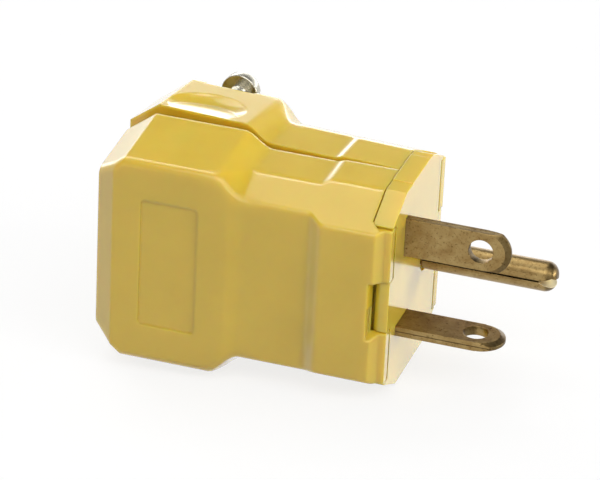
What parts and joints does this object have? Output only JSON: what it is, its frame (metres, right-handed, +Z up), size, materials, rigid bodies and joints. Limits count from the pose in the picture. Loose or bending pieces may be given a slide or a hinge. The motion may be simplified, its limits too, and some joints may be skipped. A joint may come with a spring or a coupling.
{
  "type": "power plug",
  "caption": "Straight-blade grounding plug with a moulded yellow housing whose hinged halves fold away from the face insert and its screw terminals.",
  "frame": {"origin": "middle of the mating face, level with the ground pin and half way between the ground pin and the blade row", "axes": "+X out of the mating face along the blades, +Y across the seam from the blade row to the ground pin, +Z up"},
  "size_m": [0.0703, 0.0377, 0.0372],
  "materials": {
    "yellow_nylon": "satin",
    "aged_brass": "tarnished",
    "yellow_brass": "clean",
    "green_screw": "plated green",
    "plated_steel": "bright plated"
  },
  "bodies": {
    "insert": {"face_insert": "yellow_nylon", "contact_retainer": "yellow_nylon", "hot_blade": "aged_brass", "neutral_blade": "aged_brass", "ground_pin": "aged_brass", "hot_clamp": "plated_steel", "neutral_clamp": "plated_steel", "ground_clamp": "plated_steel", "hot_screw": "yellow_brass", "neutral_screw": "plated_steel", "ground_screw": "green_screw", "upper_retainer_screw": "plated_steel", "lower_retainer_screw": "plated_steel"},
    "near_half": {"near_shell": "yellow_nylon", "upper_nut": "yellow_brass", "lower_nut": "yellow_brass"},
    "far_half": {"far_shell": "yellow_nylon", "upper_assembly_screw": "plated_steel", "lower_assembly_screw": "plated_steel"}
  },
  "joints": [
    {"name": "near_hinge", "type": "hinge", "parent": "insert", "child": "near_half", "pos_m": [-0.00125, -0.0127, 0], "axis": [0, 0, 1], "range_deg": [0, 50]},
    {"name": "far_hinge", "type": "hinge", "parent": "insert", "child": "far_half", "pos_m": [-0.00125, 0.0127, 0], "axis": [0, 0, -1], "range_deg": [0, 45.8]}
  ]
}
